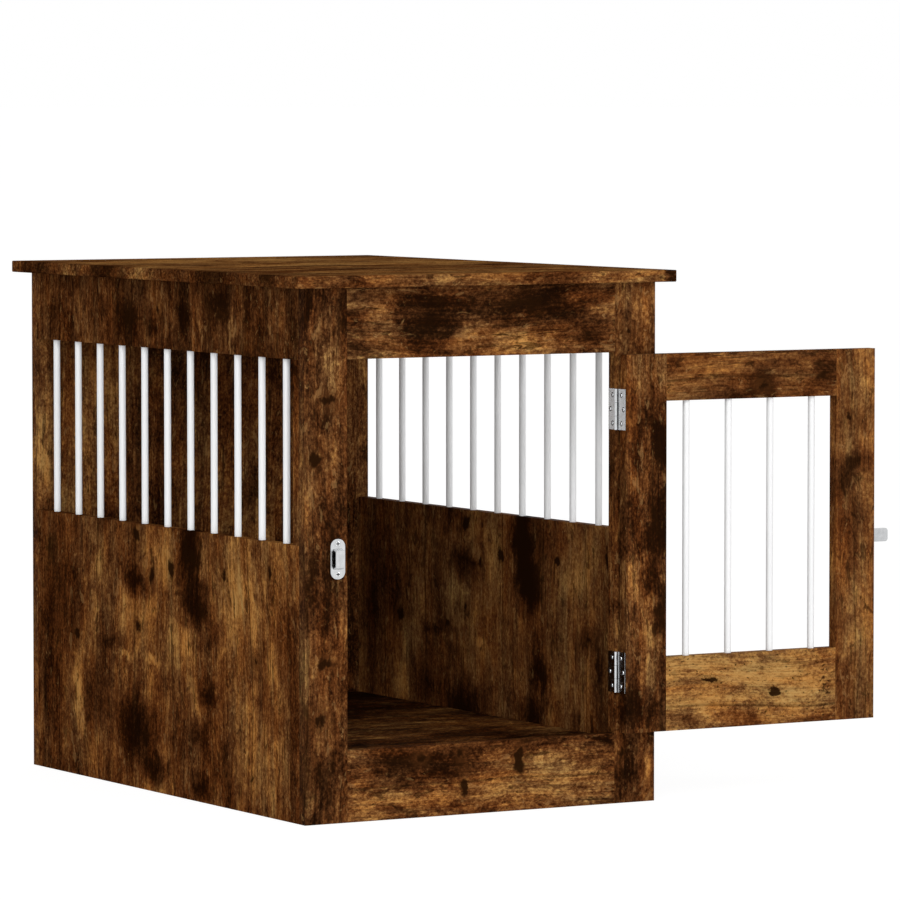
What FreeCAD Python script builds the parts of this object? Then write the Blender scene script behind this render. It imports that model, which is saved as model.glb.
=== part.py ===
import FreeCAD, Part
import os
import re
import Sketcher

# A wooden dog crate that doubles as a side table, with barred sides and a barred door on two butt hinges.
# Millimetres. +X is to the right seen from the front, the front faces -Y, +Z is up, and the origin is on the
# ground under the middle of the cabinet. The door is modelled swung right open, with its bolt shot.

SIZES = (
    ("overall_width", 550, "top board, left to right"),
    ("overall_depth", 800, "top board, front to back"),
    ("overall_height", 680, "ground to the top of the top board"),
    ("top_overhang", 20, "top board past the body, on all four sides"),
    ("top_board", 15, "thickness of the top board"),
    ("top_bevel", 1, "bevel on the edges of the top board"),
    ("board", 15, "thickness of the body's boards"),
    ("stile_width", 60, "upright of the front frame"),
    ("top_rail_height", 89, "front rail above the doorway"),
    ("bottom_rail_height", 90, "front rail below the doorway"),
    ("side_upper_height", 89, "side board above the bars"),
    ("sill_height", 346, "side board below the bars"),
    ("post_width", 15, "side post behind the front frame"),
    ("bar_diameter", 8.8, "round bar"),
    ("bar_count", 11, "bars in each side"),
    ("bar_end_margin", 45, "end of a side board to its first bar"),
    ("socket_depth", 12, "blind hole for the end of a bar"),
    ("socket_clearance", 0.1, "round a bar in its hole"),
    ("bar_end_play", 1, "above a bar in its upper groove"),
    ("groove_end", 15, "end of the upper groove past the last bars"),
    ("floor_top", 75, "ground to the cabin floor"),
    ("floor_board", 15, "thickness of the floor"),
    ("floor_clearance", 1, "round the floor"),
    ("cleat", 20, "square section of the battens under the floor"),
    ("tenon_length", 20, "tongue on a rail's end, in the stile"),
    ("tenon_thickness", 5, "tongue on a rail's end"),
    ("tenon_inset", 14, "edge of a rail to its tongue"),
    ("tenon_clearance", 0.1, "round a tongue in its slot"),
    ("tenon_end_play", 1, "past the end of a tongue"),
    ("door_board", 15, "thickness of the door"),
    ("door_latch_gap", 5, "doorway to the door on the bolt's side"),
    ("door_end_gap", 2, "doorway to the door above and below"),
    ("door_stile_width", 60, "upright of the door"),
    ("door_top_rail_height", 60, "upper rail of the door"),
    ("door_bottom_rail_height", 95, "lower rail of the door"),
    ("door_bar_count", 4, "bars in the door"),
    ("door_bar_margin", 34, "end of a door rail to its first bar"),
    ("hinge_height", 52, "hinge, along its pin"),
    ("leaf_width", 20, "pin axis to the far edge of a leaf"),
    ("leaf_thickness", 1.2, "sheet of a leaf"),
    ("knuckle_radius", 2.5, "outside of the rolled knuckle"),
    ("knuckle_play", 0.4, "round and between the knuckles of the two leaves"),
    ("pin_diameter", 2.4, "hinge pin"),
    ("pin_press", 0.02, "round the pin in the leaf that holds it"),
    ("pin_clearance", 0.05, "round the pin in the leaf that turns on it"),
    ("pin_offset", 6.5, "front of the frame to the pin axis"),
    ("upper_hinge_drop", 70, "top of the door to the middle of the upper hinge"),
    ("lower_hinge_rise", 77, "bottom of the door to the middle of the lower hinge"),
    ("latch_rise", 237, "bottom of the door to the middle of the bolt"),
    ("latch_sheet", 1.5, "sheet of the latch plates and their loops"),
    ("latch_plate_height", 50, "latch plate and keeper"),
    ("latch_corner", 9.5, "rounded corners of the latch plates"),
    ("latch_plate_width", 52, "plate under the bolt"),
    ("latch_setback", 28, "door's edge to the middle of the plate under the bolt"),
    ("latch_loop_width", 6, "each of the two loops that guide the bolt"),
    ("latch_loop_spacing", 42, "from loop to loop"),
    ("loop_slope", 2, "how far a loop's legs lean out"),
    ("keeper_width", 20.5, "keeper plate on the frame"),
    ("keeper_loop_width", 12, "loop of the keeper"),
    ("keeper_setback", 14, "edge of the doorway to the middle of the keeper"),
    ("bolt_height", 17.5, "flat bolt"),
    ("bolt_thickness", 4, "flat bolt"),
    ("bolt_clearance", 0.5, "round the bolt in its loops"),
    ("bolt_reach", 33, "bolt past the door's edge"),
    ("bolt_tail", 2, "bolt past its rear loop"),
    ("bolt_tip_radius", 4, "rounded corners of the bolt's tip"),
    ("knob_stem_diameter", 6, "stem of the bolt's knob"),
    ("knob_stem_height", 3, "stem of the bolt's knob"),
    ("knob_head_diameter", 12, "head of the bolt's knob"),
    ("knob_head_height", 6, "head of the bolt's knob"),
    ("knob_bevel", 1.2, "bevels on the knob's head"),
    ("knob_gap", 0.8, "knob to the front loop with the bolt shot"),
)

# Places and sizes that follow from the driving ones. The door's are those of the door when it is shut.
DERIVED = {
    "body_width": "overall_width - 2 * top_overhang",
    "body_depth": "overall_depth - 2 * top_overhang",
    "body_height": "overall_height - top_board",
    "front": "-body_depth / 2",
    "back": "body_depth / 2",
    "side_length": "body_depth - 2 * board",
    "inner_width": "body_width - 2 * board",
    "window_top": "body_height - side_upper_height",
    "opening_width": "body_width - 2 * stile_width",
    "opening_top": "body_height - top_rail_height",
    "bar_radius": "bar_diameter / 2",
    "bar_pitch": "(side_length - 2 * bar_end_margin) / (bar_count - 1)",
    "bar_length": "window_top - sill_height + 2 * socket_depth - bar_end_play",
    "socket_diameter": "bar_diameter + 2 * socket_clearance",
    "door_left": "-opening_width / 2 + door_latch_gap",
    "door_right": "opening_width / 2 - 2 * knuckle_radius",
    "door_bottom": "bottom_rail_height + door_end_gap",
    "door_top": "opening_top - door_end_gap",
    "door_height": "door_top - door_bottom",
    "door_rail_length": "door_right - door_left - 2 * door_stile_width",
    "door_sill": "door_bottom + door_bottom_rail_height",
    "door_bar_pitch": "(door_rail_length - 2 * door_bar_margin) / (door_bar_count - 1)",
    "door_bar_length": "door_top - door_top_rail_height - door_sill + 2 * socket_depth - bar_end_play",
    "pin_x": "opening_width / 2 - knuckle_radius",
    "pin_y": "front - pin_offset",
    "upper_hinge": "door_top - upper_hinge_drop - hinge_height / 2",
    "lower_hinge": "door_bottom + lower_hinge_rise - hinge_height / 2",
    "knuckle": "hinge_height / 3",
    "latch_level": "door_bottom + latch_rise",
    "latch_middle": "door_left + latch_setback",
    "loop_underside": "latch_sheet + bolt_thickness + 2 * bolt_clearance",
    "bolt_tip": "door_left - bolt_reach",
    "bolt_end": "latch_middle + latch_loop_spacing / 2 + latch_loop_width / 2 + bolt_tail",
    "front_loop_edge": "latch_middle - latch_loop_spacing / 2 + latch_loop_width / 2",
    "knob_middle": "front_loop_edge + knob_gap + knob_stem_diameter / 2",
}

Y_AXIS = FreeCAD.Vector(0, 1, 0)
Z_AXIS = FreeCAD.Vector(0, 0, 1)
NO_TURN = FreeCAD.Rotation()
HALF_TURN = FreeCAD.Rotation(Z_AXIS, 180)
ORIGIN = (-1, 1)
START, END, CENTRE = 1, 2, 3

doc = FreeCAD.newDocument("dog_crate")
sheet = doc.addObject("Spreadsheet::Sheet", "sizes")
for row, (alias, size, meaning) in enumerate(SIZES, start=1):
    sheet.set(f"A{row}", meaning)
    sheet.set(f"B{row}", str(size))
    sheet.setAlias(f"B{row}", alias)
doc.recompute()
ALIASES = {alias for alias, _, _ in SIZES}
nodes = []


def formula(text):
    """Write the named sizes in a formula as cells of the sheet."""

    def spell(match):
        name = match.group()
        if name in DERIVED:
            return "(" + formula(DERIVED[name]) + ")"
        return "sizes." + name if name in ALIASES else name

    return re.sub(r"[a-z]\w*", spell, text)


def bind(thing, target, text):
    thing.setExpression(target, formula(text))


def value(text):
    """What a formula comes to now."""
    return float(sheet.evalExpression(formula(text)))


def keep(piece, label):
    """Make a piece one of the named parts of the crate."""
    piece.Label = label
    nodes.append(piece)
    return piece


def place(piece, x, y, z, turn=NO_TURN, on_door=False):
    """Put a piece's own origin at x, y, z. A door piece is given as on the shut door, and swung open."""
    if on_door:
        turn = HALF_TURN.multiply(turn)
        x = f"2 * pin_x - ({x})"
        y = f"2 * pin_y - ({y})"
    piece.Placement = FreeCAD.Placement(FreeCAD.Vector(), turn)
    for axis, text in zip("xyz", (x, y, z)):
        bind(piece, "Placement.Base." + axis, text)
    return piece


def new_body(label):
    return keep(doc.addObject("PartDesign::Body", label), label)


def sketch_on(body, role, offset="0"):
    """A sketch on one of the body's own planes, moved along that plane's normal."""
    sketch = body.newObject("Sketcher::SketchObject", body.Label + "_sketch")
    plane = next(feature for feature in body.Origin.OriginFeatures if feature.Role == role)
    sketch.AttachmentSupport = (plane, [""])
    sketch.MapMode = "FlatFace"
    bind(sketch, "AttachmentOffset.Base.z", offset)
    return sketch


def hold(sketch, geometry, point, x, y):
    """Tie a point of a sketch to its origin by two formulas."""
    for kind, text in (("DistanceX", x), ("DistanceY", y)):
        index = sketch.addConstraint(Sketcher.Constraint(kind, *ORIGIN, geometry, point, value(text)))
        bind(sketch, f"Constraints[{index}]", text)


def outline(sketch, corners):
    """A closed outline of straight edges through corners given as pairs of formulas."""
    points = [FreeCAD.Vector(value(x), value(y), 0) for x, y in corners]
    edges = [
        sketch.addGeometry(Part.LineSegment(point, points[(index + 1) % len(points)]))
        for index, point in enumerate(points)
    ]
    for index, edge in enumerate(edges):
        sketch.addConstraint(Sketcher.Constraint("Coincident", edges[index - 1], END, edge, START))
        hold(sketch, edge, START, *corners[index])


def rectangle(sketch, left, bottom, right, top):
    outline(sketch, ((left, bottom), (right, bottom), (right, top), (left, top)))


def circle(sketch, x, y, diameter):
    centre = FreeCAD.Vector(value(x), value(y), 0)
    ring = sketch.addGeometry(Part.Circle(centre, Z_AXIS, value(diameter) / 2))
    hold(sketch, ring, CENTRE, x, y)
    index = sketch.addConstraint(Sketcher.Constraint("Diameter", ring, value(diameter)))
    bind(sketch, f"Constraints[{index}]", diameter)


def pad(body, sketch, length, reverse=False, both_ways=False):
    feature = body.newObject("PartDesign::Pad", body.Label + "_pad")
    feature.Profile = sketch
    feature.SideType = "Symmetric" if both_ways else "One side"
    feature.Reversed = reverse
    bind(feature, "Length", length)
    doc.recompute()
    return feature


def cut(body, sketch, depth, reverse=False, both_ways=False):
    """A pocket, which has to take something away."""
    before = body.Shape.Volume
    feature = body.newObject("PartDesign::Pocket", body.Label + "_pocket")
    feature.Profile = sketch
    feature.SideType = "Symmetric" if both_ways else "One side"
    feature.Reversed = reverse
    bind(feature, "Length", depth)
    doc.recompute()
    if body.Shape.Volume >= before:
        raise RuntimeError(f"a pocket of {body.Label} cuts nothing")
    return feature


def repeat(body, feature, direction, length, count):
    """Repeat a feature in a row."""
    row = body.newObject("PartDesign::LinearPattern", body.Label + "_row")
    row.Originals = [feature]
    row.Direction = direction
    bind(row, "Length", length)
    bind(row, "Occurrences", count)
    body.Tip = row
    doc.recompute()


def round_edges(body, radius, is_chosen):
    """Round the edges that a test picks out."""
    base = body.Tip
    chosen = [f"Edge{index}" for index, edge in enumerate(base.Shape.Edges, start=1) if is_chosen(edge)]
    feature = body.newObject("PartDesign::Fillet", body.Label + "_round")
    feature.Base = (base, chosen)
    bind(feature, "Radius", radius)
    doc.recompute()


def flat_board(label, role, length, height, thickness):
    """A board with its near lower corner at its own origin, lying in one of the three planes."""
    body = new_body(label)
    sketch = sketch_on(body, role)
    rectangle(sketch, "0", "0", length, height)
    pad(body, sketch, thickness, reverse=role == "XZ_Plane")
    return body


def bar_sockets(body, thickness, along, level, first, pitch, count):
    """A row of blind holes in the upper edge of a board, along the named axis of their sketch."""
    sketch = sketch_on(body, "XY_Plane", level)
    middle = f"{thickness} / 2"
    x, y = (middle, first) if along == "V_Axis" else (first, middle)
    circle(sketch, x, y, "socket_diameter")
    hole = cut(body, sketch, "socket_depth")
    repeat(body, hole, (sketch, [along]), f"({pitch}) * ({count} - 1)", count)


def bar_groove(body, thickness, along, length, first):
    """One groove in the lower edge of a board for the upper ends of a row of bars."""
    sketch = sketch_on(body, "XY_Plane")
    near, far = f"({thickness} - socket_diameter) / 2", f"({thickness} + socket_diameter) / 2"
    start, stop = f"{first} - groove_end", f"{length} - {first} + groove_end"
    if along == "V_Axis":
        rectangle(sketch, near, start, far, stop)
    else:
        rectangle(sketch, start, near, stop, far)
    cut(body, sketch, "socket_depth", reverse=True)


def tongue_section(sketch, thickness, low, high, clearance):
    """The cross-section of a rail's tongue, or of the slot round it."""
    near = f"({thickness} - tenon_thickness) / 2 - {clearance}"
    far = f"({thickness} + tenon_thickness) / 2 + {clearance}"
    bottom, top = f"{low} + tenon_inset - {clearance}", f"{high} - tenon_inset + {clearance}"
    rectangle(sketch, near, bottom, far, top)


def stile(label, width, height, thickness, rails):
    """An upright with slots in its inner edge, at its own x = 0, for rails given by their two edges."""
    body = flat_board(label, "XZ_Plane", width, height, thickness)
    sketch = sketch_on(body, "YZ_Plane")
    for low, high in rails:
        tongue_section(sketch, thickness, low, high, "tenon_clearance")
    cut(body, sketch, "tenon_length + tenon_end_play", reverse=True)
    return body


def rail(label, length, height, thickness):
    """A cross rail with a tongue on each end. Its shoulders are at its own x = 0 and x = length."""
    body = flat_board(label, "XZ_Plane", length, height, thickness)
    for offset, leftwards in (("0", True), (length, False)):
        sketch = sketch_on(body, "YZ_Plane", offset)
        tongue_section(sketch, thickness, "0", height, "0")
        pad(body, sketch, "tenon_length", reverse=leftwards)
    return body


def bar(label, length, x, y, z, on_door=False):
    rod = keep(doc.addObject("Part::Cylinder", label), label)
    bind(rod, "Radius", "bar_radius")
    bind(rod, "Height", length)
    return place(rod, x, y, z, on_door=on_door)


# Cabinet boards


def make_top_panel():
    body = flat_board("top_panel", "XY_Plane", "overall_width", "overall_depth", "top_board")
    plain = body.Tip
    bevel = body.newObject("PartDesign::Chamfer", "top_panel_bevel")
    bevel.Base = (plain, ["Face1"])
    bevel.UseAllEdges = True
    bind(bevel, "Size", "top_bevel")
    place(body, "-overall_width / 2", "-overall_depth / 2", "body_height")


def make_back_panel():
    body = flat_board("back_panel", "XZ_Plane", "body_width", "body_height", "board")
    place(body, "-body_width / 2", "back - board", "0")


def make_floor():
    length = "side_length - 2 * floor_clearance"
    body = flat_board("floor_panel", "XY_Plane", "inner_width - 2 * floor_clearance", length, "floor_board")
    left = "-inner_width / 2 + floor_clearance"
    place(body, left, "front + board + floor_clearance", "floor_top - floor_board")
    under_floor = "floor_top - floor_board - cleat"
    for side, x in (("left", "-inner_width / 2"), ("right", "inner_width / 2 - cleat")):
        batten = flat_board(side + "_floor_cleat", "YZ_Plane", "side_length", "cleat", "cleat")
        place(batten, x, "front + board", under_floor)


def make_side(side, x):
    """One barred side: a board above and a board below, a front post and the bars between them."""
    start = "front + board"
    lower = flat_board(side + "_lower_board", "YZ_Plane", "side_length", "sill_height", "board")
    bar_sockets(lower, "board", "V_Axis", "sill_height", "bar_end_margin", "bar_pitch", "bar_count")
    place(lower, x, start, "0")
    upper = flat_board(side + "_upper_board", "YZ_Plane", "side_length", "side_upper_height", "board")
    bar_groove(upper, "board", "V_Axis", "side_length", "bar_end_margin")
    place(upper, x, start, "window_top")
    post = flat_board(side + "_front_post", "YZ_Plane", "post_width", "window_top - sill_height", "board")
    place(post, x, start, "sill_height")
    socket_floor = "sill_height - socket_depth"
    for index in range(int(value("bar_count"))):
        y = f"{start} + bar_end_margin + {index} * bar_pitch"
        bar(f"{side}_bar_{index + 1:02d}", "bar_length", f"{x} + board / 2", y, socket_floor)


def make_front_frame():
    rails = (("0", "bottom_rail_height"), ("opening_top", "body_height"))
    right = stile("front_right_stile", "stile_width", "body_height", "board", rails)
    place(right, "opening_width / 2", "front", "0")
    left = stile("front_left_stile", "stile_width", "body_height", "board", rails)
    place(left, "-opening_width / 2", "front + board", "0", turn=HALF_TURN)
    bottom = rail("front_bottom_rail", "opening_width", "bottom_rail_height", "board")
    place(bottom, "-opening_width / 2", "front", "0")
    top = rail("front_top_rail", "opening_width", "top_rail_height", "board")
    place(top, "-opening_width / 2", "front", "opening_top")


# Door


def make_door():
    """The door's frame and bars, flush with the front frame when it is shut."""
    rails = (("0", "door_bottom_rail_height"), ("door_height - door_top_rail_height", "door_height"))
    left_joint = "door_left + door_stile_width"
    right_joint = "door_right - door_stile_width"
    hinge_stile = stile("door_hinge_stile", "door_stile_width", "door_height", "door_board", rails)
    place(hinge_stile, right_joint, "front", "door_bottom", on_door=True)
    latch_stile = stile("door_latch_stile", "door_stile_width", "door_height", "door_board", rails)
    place(latch_stile, left_joint, "front + door_board", "door_bottom", turn=HALF_TURN, on_door=True)

    row = ("door_bar_margin", "door_bar_pitch", "door_bar_count")
    bottom = rail("door_bottom_rail", "door_rail_length", "door_bottom_rail_height", "door_board")
    bar_sockets(bottom, "door_board", "H_Axis", "door_bottom_rail_height", *row)
    place(bottom, left_joint, "front", "door_bottom", on_door=True)
    top = rail("door_top_rail", "door_rail_length", "door_top_rail_height", "door_board")
    bar_groove(top, "door_board", "H_Axis", "door_rail_length", "door_bar_margin")
    place(top, left_joint, "front", "door_top - door_top_rail_height", on_door=True)
    middle, socket_floor = "front + door_board / 2", "door_sill - socket_depth"
    for index in range(int(value("door_bar_count"))):
        x = f"{left_joint} + door_bar_margin + {index} * door_bar_pitch"
        bar(f"door_bar_{index + 1}", "door_bar_length", x, middle, socket_floor, on_door=True)


# Hinges


def rolled_leaf(label, bore, notches):
    """A hinge leaf rolled from one sheet, with its pin axis on its own z axis and its wood at +x.

    The notches are pairs of levels where the other leaf has its knuckles.
    """
    body = new_body(label)
    sketch = sketch_on(body, "XY_Plane")
    radius, thickness, width = value("knuckle_radius"), value("leaf_thickness"), value("leaf_width")
    inner_x = radius - thickness
    meeting = FreeCAD.Vector(inner_x, (radius**2 - inner_x**2) ** 0.5, 0)
    outer_end, inner_end = FreeCAD.Vector(radius, width, 0), FreeCAD.Vector(inner_x, width, 0)
    roll = sketch.addGeometry(
        Part.Arc(meeting, FreeCAD.Vector(-radius, 0, 0), FreeCAD.Vector(radius, 0, 0))
    )
    back = sketch.addGeometry(Part.LineSegment(FreeCAD.Vector(radius, 0, 0), outer_end))
    edge = sketch.addGeometry(Part.LineSegment(outer_end, inner_end))
    face = sketch.addGeometry(Part.LineSegment(inner_end, meeting))
    sketch.addConstraint(Sketcher.Constraint("Coincident", roll, CENTRE, *ORIGIN))
    for first, second in ((roll, back), (back, edge), (edge, face), (face, roll)):
        sketch.addConstraint(Sketcher.Constraint("Coincident", first, END, second, START))
    hold(sketch, back, START, "knuckle_radius", "0")
    hold(sketch, edge, START, "knuckle_radius", "leaf_width")
    hold(sketch, face, START, "knuckle_radius - leaf_thickness", "leaf_width")
    sketch.addConstraint(Sketcher.Constraint("Vertical", face))
    circle(sketch, "0", "0", bore)
    pad(body, sketch, "hinge_height")

    gaps = sketch_on(body, "YZ_Plane")
    reach = "knuckle_radius + knuckle_play"
    for low, high in notches:
        rectangle(gaps, f"-({reach})", low, reach, high)
    cut(body, gaps, "4 * knuckle_radius", both_ways=True)
    return body


def make_hinge(name, level):
    """A butt hinge: two knuckles of the frame's leaf hold the pin, and the door's knuckle turns on it."""
    frame_bore = "pin_diameter + 2 * pin_press"
    door_bore = "pin_diameter + 2 * pin_clearance"
    frame_notches = (("knuckle", "2 * knuckle"),)
    door_notches = (
        ("-knuckle_play", "knuckle + knuckle_play"),
        ("2 * knuckle - knuckle_play", "3 * knuckle + knuckle_play"),
    )
    place(rolled_leaf(f"{name}_hinge_frame_leaf", frame_bore, frame_notches), "pin_x", "pin_y", level)
    door_leaf = rolled_leaf(f"{name}_hinge_door_leaf", door_bore, door_notches)
    upside_down = FreeCAD.Rotation(Y_AXIS, 180)
    place(door_leaf, "pin_x", "pin_y", f"{level} + hinge_height", turn=upside_down, on_door=True)
    pin = keep(doc.addObject("Part::Cylinder", f"{name}_hinge_pin"), f"{name}_hinge_pin")
    bind(pin, "Radius", "pin_diameter / 2")
    bind(pin, "Height", "hinge_height")
    place(pin, "pin_x", "pin_y", level)


# Latch


def latch_plate(label, width, loop_width, loop_offsets):
    """A sheet plate with raised loops for the bolt. Its back is at its own y = 0, its front towards -y."""
    body = new_body(label)
    sketch = sketch_on(body, "XZ_Plane")
    half_width, half_height = f"{width} / 2", "latch_plate_height / 2"
    rectangle(sketch, f"-{half_width}", f"-{half_height}", half_width, half_height)
    pad(body, sketch, "latch_sheet")
    round_edges(body, "latch_corner", lambda edge: abs(edge.tangentAt(edge.FirstParameter).y) > 0.9)

    inside_top = "bolt_height / 2 + bolt_clearance"
    inside_foot = f"{inside_top} + loop_slope"
    outside_top = f"{inside_top} + latch_sheet"
    outside_foot = f"{inside_foot} + latch_sheet"
    sheet_face, underside = "-latch_sheet", "-(loop_underside)"
    outside = "-(loop_underside + latch_sheet)"
    for offset in loop_offsets:
        section = sketch_on(body, "YZ_Plane", offset)
        outline(
            section,
            (
                (sheet_face, outside_foot),
                (outside, outside_top),
                (outside, f"-({outside_top})"),
                (sheet_face, f"-({outside_foot})"),
                (sheet_face, f"-({inside_foot})"),
                (underside, f"-({inside_top})"),
                (underside, inside_top),
                (sheet_face, inside_foot),
            ),
        )
        pad(body, section, loop_width, both_ways=True)
    return body


def make_latch():
    """The keeper on the frame; the plate, the sliding bolt and its knob on the door."""
    keeper = latch_plate("latch_keeper", "keeper_width", "keeper_loop_width", ("0",))
    place(keeper, "-opening_width / 2 - keeper_setback", "front", "latch_level")
    loops = ("-latch_loop_spacing / 2", "latch_loop_spacing / 2")
    plate = latch_plate("latch_base_plate", "latch_plate_width", "latch_loop_width", loops)
    place(plate, "latch_middle", "front", "latch_level", on_door=True)

    bolt = new_body("latch_bolt")
    sketch = sketch_on(bolt, "XZ_Plane")
    rectangle(sketch, "0", "-bolt_height / 2", "bolt_end - bolt_tip", "bolt_height / 2")
    pad(bolt, sketch, "bolt_thickness")
    round_edges(
        bolt,
        "bolt_tip_radius",
        lambda edge: abs(edge.tangentAt(edge.FirstParameter).y) > 0.9 and abs(edge.CenterOfMass.x) < 1e-6,
    )
    bolt_back = "front - latch_sheet - bolt_clearance"
    place(bolt, "bolt_tip", bolt_back, "latch_level", on_door=True)

    knob = new_body("latch_knob")
    profile = sketch_on(knob, "XY_Plane")
    stem, head = "knob_stem_diameter / 2", "knob_head_diameter / 2"
    shoulder = f"{head} - knob_bevel"
    top = "-(knob_stem_height + knob_head_height)"
    outline(
        profile,
        (
            ("0", "0"),
            (stem, "0"),
            (stem, "-knob_stem_height"),
            (shoulder, "-knob_stem_height"),
            (head, "-knob_stem_height - knob_bevel"),
            (head, f"{top} + knob_bevel"),
            (shoulder, top),
            ("0", top),
        ),
    )
    turned = knob.newObject("PartDesign::Revolution", "latch_knob_turned")
    turned.Profile = profile
    turned.ReferenceAxis = (profile, ["V_Axis"])
    turned.Angle = 360
    place(knob, "knob_middle", f"{bolt_back} - bolt_thickness", "latch_level", on_door=True)


make_top_panel()
make_back_panel()
make_floor()
make_side("left", "-body_width / 2")
make_side("right", "body_width / 2 - board")
make_front_frame()
make_door()
make_hinge("upper", "upper_hinge")
make_hinge("lower", "lower_hinge")
make_latch()
doc.recompute()

for thing in doc.Objects:
    if {"Invalid", "Error"} & set(thing.State):
        raise RuntimeError(f"{thing.Label} failed: {thing.State}")
for node in nodes:
    if node.Shape.isNull() or not node.Shape.isValid():
        raise RuntimeError(f"{node.Label} has no valid shape")
os.makedirs("parts", exist_ok=True)
for node in nodes:
    node.Shape.exportStep(f"parts/{node.Label}.step")
print(len(nodes), "parts written")
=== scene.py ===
import math

import bmesh
import bpy
from mathutils import Matrix, Vector


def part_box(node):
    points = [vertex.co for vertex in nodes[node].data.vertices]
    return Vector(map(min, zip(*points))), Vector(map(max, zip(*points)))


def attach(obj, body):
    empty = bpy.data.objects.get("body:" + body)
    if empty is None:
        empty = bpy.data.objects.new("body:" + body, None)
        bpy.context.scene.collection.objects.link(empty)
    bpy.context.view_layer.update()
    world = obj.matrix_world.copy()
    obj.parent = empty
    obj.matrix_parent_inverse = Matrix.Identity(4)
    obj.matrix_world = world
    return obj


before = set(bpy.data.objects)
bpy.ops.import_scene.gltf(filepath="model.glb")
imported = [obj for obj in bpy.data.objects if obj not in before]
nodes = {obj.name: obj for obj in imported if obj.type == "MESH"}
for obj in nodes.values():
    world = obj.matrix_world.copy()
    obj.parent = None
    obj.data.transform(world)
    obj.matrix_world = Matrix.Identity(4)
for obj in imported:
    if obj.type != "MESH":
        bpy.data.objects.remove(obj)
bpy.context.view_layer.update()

X, Y, Z = 0, 1, 2
MILLIMETRES_PER_METRE = 1000.0
WHITE = (1.0, 1.0, 1.0, 1.0)
# Noise lies about its middle and seldom leaves the span from low to high
NOISE_LOW, NOISE_MIDDLE, NOISE_HIGH = 0.3, 0.5, 0.7


# Node helpers


def new_material(name):
    material = bpy.data.materials.new(name)
    material.use_nodes = True
    tree = material.node_tree
    tree.nodes.clear()
    return material, tree


def add(tree, kind, inputs=None, **settings):
    """A node with its settings made and its inputs linked or filled."""
    item = tree.nodes.new(kind)
    for key, setting in settings.items():
        setattr(item, key, setting)
    for key, given in (inputs or {}).items():
        if isinstance(given, bpy.types.NodeSocket):
            tree.links.new(given, item.inputs[key])
        else:
            item.inputs[key].default_value = given
    return item


def calc(tree, operation, first, second=0.0, third=0.0):
    item = add(tree, "ShaderNodeMath", {0: first, 1: second, 2: third}, operation=operation)
    return item.outputs[0]


def times(tree, first, second):
    return calc(tree, "MULTIPLY", first, second)


def plus(tree, total, term, weight):
    return calc(tree, "ADD", total, times(tree, term, weight))


def centred(tree, factor):
    return calc(tree, "SUBTRACT", factor, NOISE_MIDDLE)


def off_middle(tree, factor):
    return calc(tree, "ABSOLUTE", centred(tree, factor))


def vector_calc(tree, operation, first, second):
    item = add(tree, "ShaderNodeVectorMath", {0: first, 1: second}, operation=operation)
    return item.outputs[0]


def scaled(tree, vector, factors):
    return vector_calc(tree, "MULTIPLY", vector, factors)


def joined(tree, *parts):
    return add(tree, "ShaderNodeCombineXYZ", dict(enumerate(parts))).outputs[0]


def split(tree, vector):
    return add(tree, "ShaderNodeSeparateXYZ", {0: vector}).outputs


def object_place(tree):
    return add(tree, "ShaderNodeTexCoord").outputs["Object"]


def noise(tree, vector, detail, roughness, distortion=0.0, output=0):
    """Noise of one cycle per unit. Output 0 is a value and output 1 a colour."""
    item = add(
        tree,
        "ShaderNodeTexNoise",
        {
            "Vector": vector,
            "Scale": 1.0,
            "Detail": detail,
            "Roughness": roughness,
            "Distortion": distortion,
        },
    )
    return item.outputs[output]


def step_between(tree, factor, low, high, to_low=0.0, to_high=1.0):
    item = add(
        tree,
        "ShaderNodeMapRange",
        {0: factor, 1: low, 2: high, 3: to_low, 4: to_high},
        interpolation_type="SMOOTHSTEP",
    )
    return item.outputs[0]


def spread(tree, factor, to_low, to_high):
    """The span of a noise carried over to another span."""
    return step_between(tree, factor, NOISE_LOW, NOISE_HIGH, to_low, to_high)


def ramp(tree, factor, stops):
    item = add(tree, "ShaderNodeValToRGB", {0: factor})
    elements = item.color_ramp.elements
    while len(elements) < len(stops):
        elements.new(0.5)
    for element, (position, colour) in zip(elements, stops):
        element.position = position
        element.color = (*colour, 1.0)
    return item.outputs[0]


def two_tone(tree, factor, dull, bright):
    return ramp(tree, factor, ((NOISE_LOW, dull), (NOISE_HIGH, bright)))


def blend(tree, factor, first, second, mode="MIX"):
    item = add(
        tree,
        "ShaderNodeMix",
        {0: factor, 6: first, 7: second},
        data_type="RGBA",
        blend_type=mode,
    )
    return item.outputs[2]


def surface(tree, colour, roughness, bump=None, metallic=0.0, specular=0.5):
    """A plain shader. A bump is its height, strength and distance."""
    inputs = {
        "Base Color": colour,
        "Roughness": roughness,
        "Metallic": metallic,
        "Specular IOR Level": specular,
    }
    if bump:
        height, strength, distance = bump
        lifted = add(
            tree,
            "ShaderNodeBump",
            {"Height": height, "Strength": strength, "Distance": distance},
        )
        inputs["Normal"] = lifted.outputs[0]
    shader = add(tree, "ShaderNodeBsdfPrincipled", inputs)
    add(tree, "ShaderNodeOutputMaterial", {"Surface": shader.outputs[0]})


# Wood

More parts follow.
